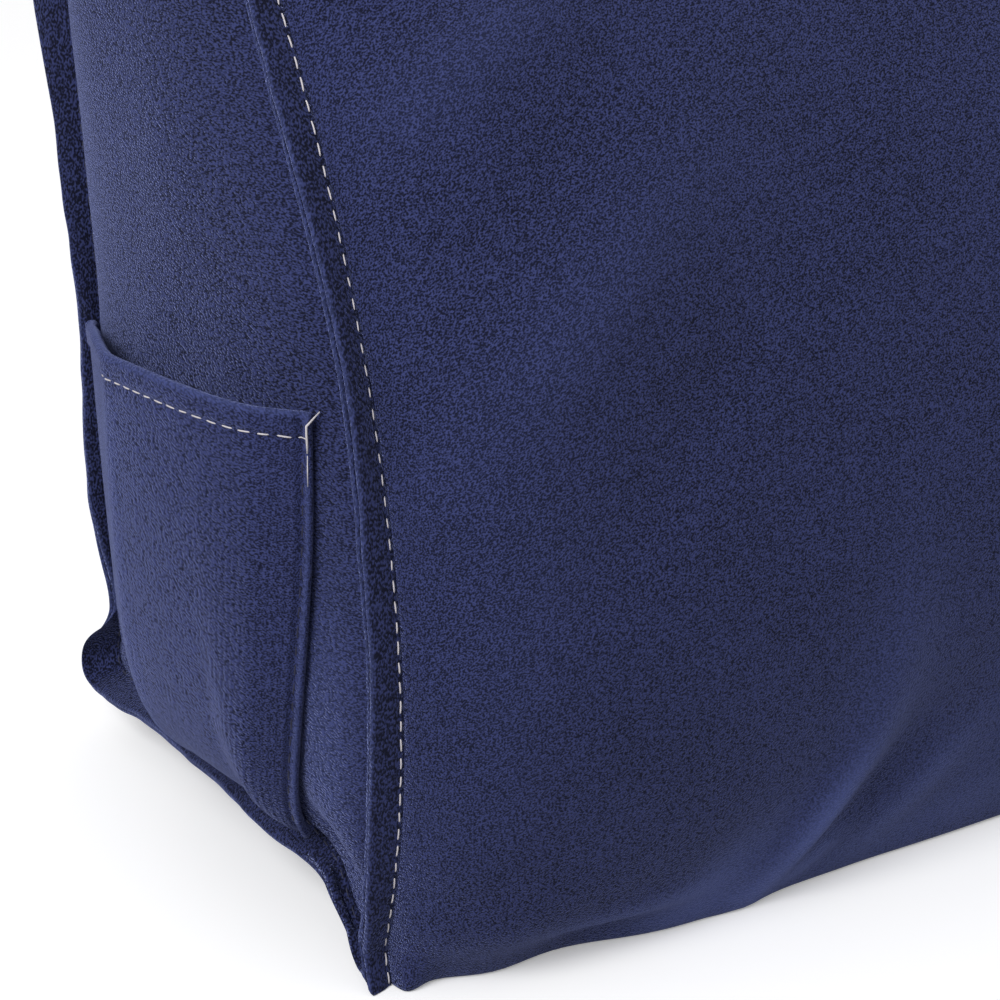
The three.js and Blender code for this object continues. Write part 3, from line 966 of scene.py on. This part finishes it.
def catmull(points, shares):
    """Points of a chordal Catmull-Rom curve at shares of its length."""
    knots = run_lengths(points)
    slopes = np.zeros_like(points)
    for i in range(len(points)):
        a, b = max(0, i - 1), min(len(points) - 1, i + 1)
        slopes[i] = (points[b] - points[a]) / (knots[b] - knots[a])
    fine = np.linspace(0, knots[-1], CURVE_POINTS)
    i = np.clip(np.searchsorted(knots, fine, side="right") - 1, 0, len(points) - 2)
    span = (knots[i + 1] - knots[i])[:, None]
    t = ((fine - knots[i])[:, None]) / span
    curve = ((2 * t ** 3 - 3 * t ** 2 + 1) * points[i] + (t ** 3 - 2 * t ** 2 + t) * span * slopes[i]
             + (3 * t ** 2 - 2 * t ** 3) * points[i + 1] + (t ** 3 - t ** 2) * span * slopes[i + 1])
    return spaced(curve, shares)


class PocketFrame:
    """The pocket's cloth as a grid from its sewn foot up to its mouth, front to back."""

    def __init__(self, sizes):
        knots = np.stack([column(POCKET_MOUTH, name) for name in ("depth", "height", "off")], axis=1)
        depth_top, height_top, off = catmull(knots * MM, POCKET_COLUMNS).T
        share = (depth_top - depth_top[0]) / (depth_top[-1] - depth_top[0])
        up = POCKET_ROWS[:, None]
        arch = 4 * up * (1 - up)
        foot = blend(POCKET_FOOT["front"], POCKET_FOOT["back"], share) * MM
        depth = blend(foot, depth_top, up) - POCKET_FOOT["bow"] * MM * arch * (1 - share)
        fill = (1 - (1 - up) ** POCKET_FILL["power"]) * (1 + POCKET_FILL["belly"] * (1 - up))
        stand = np.maximum(0, off) * fill
        low = up / POCKET_FILL["sag_at"]
        most = POCKET_FILL["sag"] * MM
        sag = most * low * np.exp(1 - low) * np.minimum(1, stand / most)
        low_edge = (POCKET_FOOT["height"] - POCKET_FOOT["drop"] * share) * MM
        height = blend(low_edge, height_top, up) - sag
        out = crown_out(depth, height) + POCKET_FILL["seat"] * MM + stand
        inside = np.stack([-sizes.seam_span / 2 - out, depth, height], axis=2)
        normal = unit(np.cross(np.gradient(inside, axis=0), np.gradient(inside, axis=1)))
        facing = np.sign(-normal[len(POCKET_ROWS) // 2, len(POCKET_COLUMNS) // 2, 0])
        lines = inside[::-1].transpose(1, 0, 2)
        from_mouth = np.stack([run_lengths(line) for line in lines], axis=1)[::-1]
        from_front = np.stack([run_lengths(line) for line in inside])
        self.inside, self.normal = inside, normal * facing
        self.from_mouth = from_mouth
        self.from_sides = (from_front, from_front[:, -1:] - from_front)
        from_hem = from_mouth - sizes.hem_depth
        thick = sizes.pocket_cloth + sizes.hem_extra * (1 - smoothstep(from_hem, *HEM_END))
        thick += relief(from_hem, HEM_GROOVE) + relief(inside[..., 1], BACK_FOLD)
        for from_side in self.from_sides:
            thick += relief(from_side, EDGE_ROLL) + relief(from_side, EDGE_GROOVE)
        self.thick = thick
        self.outside = inside + self.normal * thick[..., None]


def make_pocket(settings):
    shape = PocketFrame(settings.sizes)
    inside = shape.inside
    rows, columns = inside.shape[:2]
    top = unit(np.gradient(inside, axis=0))[-1] * MOUTH_EDGE["rise"]
    across = shape.normal[-1] * shape.thick[-1][:, None]
    rounded = np.stack([inside[-1] + across * share + top for share in MOUTH_EDGE["shares"]])
    loops = np.concatenate([inside, rounded, shape.outside[::-1]]).transpose(1, 0, 2)
    count = loops.shape[1]
    numbers = corner_numbers(columns, count)
    faces = face_strips(numbers, False)
    for ring in (numbers[0], numbers[-1]):
        back = ring[::-1]
        faces += [(ring[i], ring[i + 1], back[i + 1], back[i]) for i in range(count // 2 - 1)]
    piece = new_piece("pocket_left_plush", loops.reshape(-1, 3), faces,
                      plush_material("navy_pocket_pile", settings, POCKET_NAP))
    keep_values(piece, "girth", np.repeat(shape.from_sides[0][-1], count))
    # Painted highlights: the back fold, the front roll and the mouth's rounded edge are lightened in place
    # of sheen.
    fold = relief(inside[..., 1], FOLD_LIGHT) * smoothstep(shape.from_mouth, *FOLD_START)
    edge = np.zeros((count, columns))
    edge[rows + 2:] = np.maximum(fold, relief(shape.from_sides[0], ROLL_LIGHT))[::-1]
    edge[rows:rows + 2] = 1
    edge[rows - 1] = MOUTH_EDGE["beside"]
    edge[rows + 2] = np.maximum(edge[rows + 2], MOUTH_EDGE["beside"])
    keep_values(piece, "crest", edge.T)
    return piece


def read_lines(distances, place, lines):
    """The point of each line of a grid that lies at one distance along it."""
    spots = []
    for distance, line in zip(distances, lines):
        order = np.argsort(distance)
        spots.append(read_at(distance[order], line[order], place))
    return np.array(spots)


def make_pocket_stitches(settings):
    """Hem stitch under the mouth, sunk side stitches, and the bar of thread at the mouth's front corner."""
    shape = PocketFrame(settings.sizes)
    pale, navy = thread_materials(settings)
    grids = (shape.outside, shape.normal)
    fine = np.linspace(0, 1, HEM_POINTS)
    hem = []
    for grid in grids:
        line = read_lines(shape.from_mouth.T, settings.sizes.hem_depth, grid.transpose(1, 0, 2))
        hem.append(spaced(line, fine))
    sunk = HEM_SUNK["depth"] * MM * smoothstep(fine, HEM_SUNK["from"], HEM_SUNK["to"])
    runs = [stitch_line(*hem, settings, sunk)]
    front = [read_lines(shape.from_sides[0], EDGE_ROLL["at"], grid)[::-1] for grid in grids]
    below = shape.from_mouth[::-1, 0]
    bar, bar_normal = (read_at(below, line, BAR["places"]) for line in front)
    tail, tail_normal = (read_at(below, line, BAR_TAIL["places"]) for line in front)
    bar = np.vstack([shape.outside[-1:, 0] + BAR_CORNER, bar])
    bar_normal = np.vstack([bar_normal[:1], bar_normal])
    thread = settings.stitches.thread
    runs.append(thread_run(bar, bar_normal, thread * BAR["weight"]))
    runs.append(thread_run(tail, tail_normal, thread * BAR_TAIL["weight"]))
    sides = []
    for from_side in shape.from_sides:
        lines = [read_lines(from_side, EDGE_GROOVE["at"], grid)[SIDE_ROWS] for grid in grids]
        sides.append(stitch_line(*lines, settings, UNDER_SUNK * MM))
    return (new_piece("pocket_hem_stitches", *joined(runs), pale),
            new_piece("pocket_side_stitches", *joined(sides), navy))


def fill_inputs(tree, node, inputs):
    """Sets or links the named inputs of a node, each to a value or an output."""
    for name, value in inputs.items():
        if hasattr(value, "links"):
            tree.links.new(value, node.inputs[name])
        else:
            node.inputs[name].default_value = value


def add_node(tree, kind, inputs):
    node = tree.nodes.new("ShaderNode" + kind)
    fill_inputs(tree, node, inputs)
    return node


def math_node(tree, operation, *values):
    """A Math node on one or two values, each a number or an output."""
    node = add_node(tree, "Math", dict(enumerate(values)))
    node.operation = operation
    return node.outputs[0]


def noise_node(tree, vector, form):
    inputs = {"Vector": vector, "Scale": form["scale"], "Detail": form["detail"]}
    return add_node(tree, "TexNoise", inputs).outputs["Fac"]


def spread(tree, value, low, high):
    """A value between two limits as a share from 0 to 1."""
    return add_node(tree, "MapRange", {"From Min": low, "From Max": high, "Value": value}).outputs["Result"]


def mix_colours(tree, share, first, second):
    """A colour between two, each a colour or an output."""
    node = tree.nodes.new("ShaderNodeMix")
    node.data_type = "RGBA"
    fill_inputs(tree, node, {"Factor": share, FIRST_COLOUR: first, SECOND_COLOUR: second})
    return node.outputs[MIXED_COLOUR]


def stored(tree, name):
    """A value that a piece keeps for each of its points."""
    node = tree.nodes.new("ShaderNodeAttribute")
    node.attribute_name = name
    return node.outputs["Fac"]


def nap_group():
    """Shader group of the pebbly nap: tufts, clumps and brushed patches as a colour and a height."""
    made = bpy.data.node_groups.get("Plush nap")
    if made:
        return made
    tree = bpy.data.node_groups.new("Plush nap", "ShaderNodeTree")
    for row in NAP_SOCKETS:
        tree.interface.new_socket(row["name"], in_out=row["way"], socket_type="NodeSocket" + row["kind"])
    start = tree.nodes.new("NodeGroupInput").outputs
    end = tree.nodes.new("NodeGroupOutput")
    tufts = spread(tree, noise_node(tree, start["Streaked"], TUFTS), *TUFT_SPREAD)
    shade = math_node(tree, "MULTIPLY", tufts, TUFTS["share"])
    for form, place in ((CLUMPS, start["Streaked"]), (PATCHES, start["Plain"])):
        uneven = math_node(tree, "SUBTRACT", noise_node(tree, place, form), 0.5)
        shade = math_node(tree, "ADD", shade, math_node(tree, "MULTIPLY", uneven, form["share"]))
    # The Shade input adds each face's painted light or painted shade to the pile's tone.
    shade = math_node(tree, "ADD", math_node(tree, "ADD", shade, start["Shade"]), NAP_FLOOR)
    colour = mix_colours(tree, shade, start["Pile root"], start["Pile tip"])
    fill_inputs(tree, end, {"Color": colour, "Height": tufts})
    return tree


def new_material(name):
    """A material with nodes, with its tree and its shader."""
    material = bpy.data.materials.new(name)
    material.use_nodes = True
    return material, material.node_tree, material.node_tree.nodes["Principled BSDF"]


def plush_material(name, settings, look):
    made = bpy.data.materials.get(name)
    if made:
        return made
    colours = settings.colours
    material, tree, cloth = new_material(name)
    place = tree.nodes.new("ShaderNodeTexCoord").outputs["Object"]
    angles = [math.radians(a) for a in look["turn"]]
    turn = add_node(tree, "Mapping", {"Vector": place, "Rotation": angles, "Scale": look["stretch"]})
    turn.vector_type = "TEXTURE"
    nap = tree.nodes.new("ShaderNodeGroup")
    nap.node_tree = nap_group()
    fill_inputs(tree, nap, {
        "Streaked": turn.outputs["Vector"], "Plain": place, "Pile root": (*colours.deep, 1),
        "Pile tip": (*colours.tip, 1), "Shade": look["shade"]})
    height = nap.outputs["Height"]
    if look["ribs"]:
        girth = stored(tree, "girth")
        ribs = math_node(tree, "SINE", math_node(tree, "MULTIPLY", girth, 2 * math.pi / RIBS["pitch"]))
        beside = spread(tree, girth, RIBS["flat_at"], RIBS["deep_at"])
        deep = math_node(tree, "ADD", math_node(tree, "MULTIPLY", beside, RIBS["deep"]), RIBS["flat"])
        height = math_node(tree, "ADD", height, math_node(tree, "MULTIPLY", ribs, deep))
    # Painted highlight: the pile colour is mixed towards the lighter crest colour where the stored mask
    # says.
    painted_highlight_share = math_node(tree, "MULTIPLY", stored(tree, "crest"), look["crest"])
    colour = mix_colours(tree, painted_highlight_share, nap.outputs["Color"], (*colours.crest, 1))
    bump = add_node(tree, "Bump", {"Strength": 0.6, "Distance": 0.0005, "Height": height})
    fill_inputs(tree, cloth, {
        "Base Color": colour, "Normal": bump.outputs["Normal"], "Roughness": 0.92,
        "Specular IOR Level": 0.2, "Sheen Weight": look["sheen"], "Sheen Roughness": 0.32,
        "Sheen Tint": (0.36, 0.42, 0.82, 1)})
    return material


def thread_material(name, colour):
    made = bpy.data.materials.get(name)
    if made:
        return made
    material, tree, thread = new_material(name)
    place = tree.nodes.new("ShaderNodeTexCoord").outputs["Object"]
    twist = noise_node(tree, place, TWIST)
    dark = [c * TWIST["dark"] for c in colour]
    strands = mix_colours(tree, spread(tree, twist, *TWIST["spread"]), (*dark, 1), (*colour, 1))
    bump = add_node(tree, "Bump", {"Strength": 0.4, "Distance": 0.0001, "Height": twist})
    fill_inputs(tree, thread, {
        "Base Color": strands, "Normal": bump.outputs["Normal"], "Roughness": 0.6, "Sheen Weight": 0.2})
    return material


def thread_materials(settings):
    """The pale thread of the topstitching and the navy one of undersides and pocket sides."""
    colours = settings.colours
    return (thread_material("topstitch_thread", colours.thread),
            thread_material("under_thread", colours.under_thread))


class PILLOW_OT_body(bpy.types.Operator):
    """Build the stuffed body and let its filling settle"""

    bl_idname = "pillow.body"
    bl_label = "Stuffed body"

    def execute(self, context):
        body = make_body(context.scene.wedge_pillow)
        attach(body, "root")
        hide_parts("pillow_body")
        return {"FINISHED"}


class PILLOW_OT_flanges(bpy.types.Operator):
    """Build the doubled flange round each end panel, with its topstitching"""

    bl_idname = "pillow.flanges"
    bl_label = "End flanges"

    def execute(self, context):
        settings = context.scene.wedge_pillow
        for end, side in (("left", -1), ("right", 1)):
            flange = make_flange("flange_%s_plush" % end, side, settings)
            stitches = make_seam_stitches(end, side, settings)
            for piece in (flange, *stitches):
                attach(piece, "root")
            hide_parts("flange_%s" % end)
            rim = Rim(FLAT_DENSITY)
        return {"FINISHED"}


class PILLOW_OT_pocket(bpy.types.Operator):
    """Build the patch pocket on the left end panel, with its hem and stitches"""

    bl_idname = "pillow.pocket"
    bl_label = "End pocket"

    def execute(self, context):
        settings = context.scene.wedge_pillow
        pocket = make_pocket(settings)
        stitches = make_pocket_stitches(settings)
        for piece in (pocket, *stitches):
            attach(piece, "root")
        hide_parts("pocket_left")
        return {"FINISHED"}


class PILLOW_OT_stage(bpy.types.Operator):
    """Set up the floor, the soft light and the camera"""

    bl_idname = "pillow.stage"
    bl_label = "Stage"

    def execute(self, context):
        make_stage(context.scene)
        return {"FINISHED"}


def make_stage(scene):
    stage = scene.wedge_pillow.stage
    corners = [(x * FLOOR_REACH, y * FLOOR_REACH, 0) for x, y in ((-1, -1), (1, -1), (1, 1), (-1, 1))]
    mesh = bpy.data.meshes.new("floor")
    mesh.from_pydata(corners, [], [(0, 1, 2, 3)])
    floor = bpy.data.objects.new("floor", mesh)
    floor.location.z = -FLOOR_DROP
    scene.collection.objects.link(floor)
    material, tree, paint = new_material("pale_floor")
    seen = tree.nodes.new("ShaderNodeLightPath").outputs["Is Camera Ray"]
    thrown = [value * stage.bounce for value in stage.floor]
    colour = mix_colours(tree, seen, (*thrown, 1), (*stage.floor, 1))
    fill_inputs(tree, paint, {
        "Base Color": colour, "Roughness": 0.9, "Emission Color": (1, 1, 1, 1),
        "Emission Strength": math_node(tree, "MULTIPLY", seen, stage.glow)})
    mesh.materials.append(material)
    world = bpy.data.worlds.new("soft_room")
    world.use_nodes = True
    sky = world.node_tree.nodes["Background"]
    sky.inputs["Color"].default_value = (1, 1, 1, 1)
    sky.inputs["Strength"].default_value = stage.ambient
    scene.world = world
    lamp = bpy.data.lights.new("key", "AREA")
    lamp.energy = stage.key
    lamp.size = KEY["size"]
    light = bpy.data.objects.new("key", lamp)
    light.location = KEY["place"]
    aim = Vector(KEY["aim"]) - light.location
    light.rotation_euler = aim.to_track_quat("-Z", "Y").to_euler()
    scene.collection.objects.link(light)
    eye = bpy.data.cameras.new("eye")
    eye.sensor_width = 36
    eye.lens = stage.lens
    eye.clip_start, eye.clip_end = 0.01, 50
    camera = bpy.data.objects.new("eye", eye)
    camera.location = stage.eye
    level = math.cos(stage.pitch)
    ahead = Vector((-math.sin(stage.azimuth) * level, math.cos(stage.azimuth) * level,
                    -math.sin(stage.pitch)))
    camera.rotation_mode = "QUATERNION"
    camera.rotation_quaternion = ahead.to_track_quat("-Z", "Y")
    scene.collection.objects.link(camera)
    scene.camera = camera
    scene.view_settings.view_transform = "Standard"


class PILLOW_PT_sidebar(bpy.types.Panel):
    """The pillow's pieces and settings"""

    bl_label = "Wedge pillow"
    bl_space_type = "VIEW_3D"
    bl_region_type = "UI"
    bl_category = "Pillow"

    def draw(self, context):
        settings = context.scene.wedge_pillow
        for operator in OPERATORS:
            self.layout.operator(operator.bl_idname)
        for group in (settings.sizes, settings.stitches, settings.colours, settings.stage):
            box = self.layout.box()
            for name in group.__annotations__:
                box.prop(group, name)


GROUPS = (PillowSizes, StitchSizes, PlushColours, StageSettings, PillowSettings)
OPERATORS = (PILLOW_OT_body, PILLOW_OT_flanges, PILLOW_OT_pocket, PILLOW_OT_stage)


def register():
    for cls in (*GROUPS, *OPERATORS, PILLOW_PT_sidebar):
        bpy.utils.register_class(cls)
    bpy.types.Scene.wedge_pillow = PointerProperty(type=PillowSettings)


def unregister():
    del bpy.types.Scene.wedge_pillow
    for cls in reversed((*GROUPS, *OPERATORS, PILLOW_PT_sidebar)):
        bpy.utils.unregister_class(cls)


def main():
    register()
    bpy.ops.pillow.body()
    bpy.ops.pillow.flanges()
    bpy.ops.pillow.pocket()
    bpy.ops.pillow.stage()


if __name__ == "__main__":
    main()
